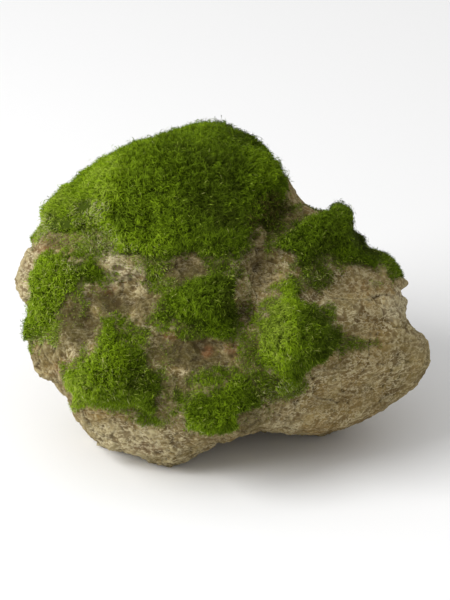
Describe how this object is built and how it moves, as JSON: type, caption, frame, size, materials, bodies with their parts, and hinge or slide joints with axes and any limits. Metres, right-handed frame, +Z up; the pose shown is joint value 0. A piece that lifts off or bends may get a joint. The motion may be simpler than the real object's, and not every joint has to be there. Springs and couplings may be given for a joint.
{
  "type": "mossy rock",
  "caption": "Broken tan stone standing on a flat face, with thick cushions of green moss over its crown and ledges; an ornament for a shelf, terrarium or landscape.",
  "frame": {"origin": "on the plane that the stone rests on, under the middle of the whole object's bounding box", "axes": "+Z up, +X along the stone's width, to the right of the side seen in the picture, which faces -Y"},
  "size_m": [0.2072, 0.1914, 0.1461],
  "materials": {
    "stone": "matte",
    "moss": "matte"
  },
  "bodies": {
    "root": {"rock": "stone", "moss_crown": "moss", "moss_left_flank": "moss", "moss_lower_left": "moss", "moss_lower_middle": "moss", "moss_middle": "moss", "moss_right_middle": "moss", "moss_right_shoulder": "moss", "moss_back": "moss"}
  },
  "joints": []
}
